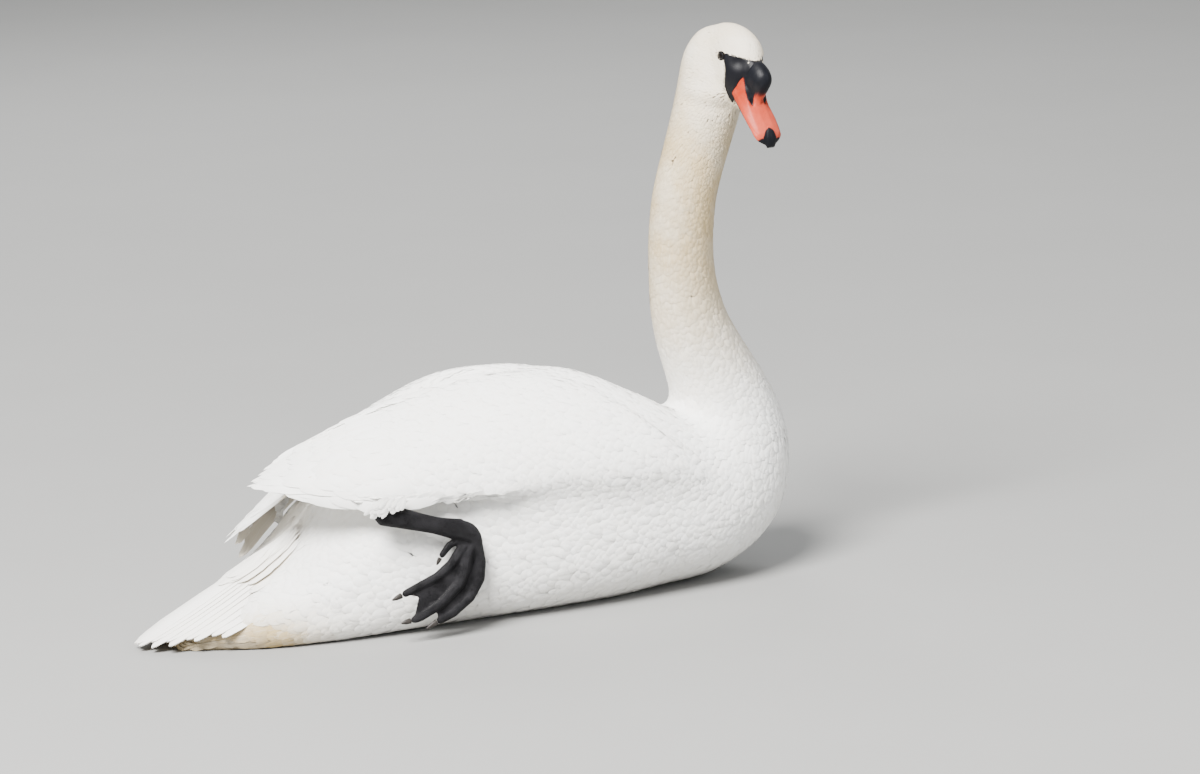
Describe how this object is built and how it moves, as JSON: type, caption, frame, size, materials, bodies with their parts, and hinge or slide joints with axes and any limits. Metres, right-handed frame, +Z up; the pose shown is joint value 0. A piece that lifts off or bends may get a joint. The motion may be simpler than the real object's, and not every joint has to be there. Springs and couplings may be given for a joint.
{
  "type": "mute swan, life-size museum model",
  "caption": "Life-size still model of a mute swan resting on its belly, neck raised and head turned to its right, a webbed foot folded back along the flank.",
  "frame": {"origin": "bottom centre of the bounding box, on the floor under the belly", "axes": "+X towards the breast and away from the tail, +Y to the swan's left, +Z up; the head is turned to -Y"},
  "size_m": [0.7908, 0.3434, 0.6185],
  "materials": {
    "white_plumage": "matt white feathers",
    "cream_plumage": "matt ivory feathers",
    "orange_bill": "satin orange horn",
    "black_horn": "satin black horn",
    "foot_skin": "finely scaled charcoal skin",
    "claw_horn": "satin grey-brown horn",
    "eye": "wet dark brown"
  },
  "bodies": {
    "root": {"trunk": "white_plumage", "breast": "white_plumage", "neck_lower": "white_plumage", "neck_middle": "cream_plumage", "neck_upper": "cream_plumage", "head": "cream_plumage", "wing_right": "white_plumage", "wing_left": "white_plumage", "tail": "white_plumage", "bill_upper": "orange_bill", "bill_lower": "black_horn", "bill_nail": "black_horn", "bill_knob": "black_horn", "eye_right": "eye", "eye_left": "eye", "tarsus_right": "foot_skin", "foot_right": "foot_skin", "tarsus_left": "foot_skin", "foot_left": "foot_skin", "claw_right_outer": "claw_horn", "claw_right_middle": "claw_horn", "claw_right_inner": "claw_horn", "claw_right_hind": "claw_horn", "claw_left_outer": "claw_horn", "claw_left_middle": "claw_horn", "claw_left_inner": "claw_horn", "claw_left_hind": "claw_horn"}
  },
  "joints": []
}
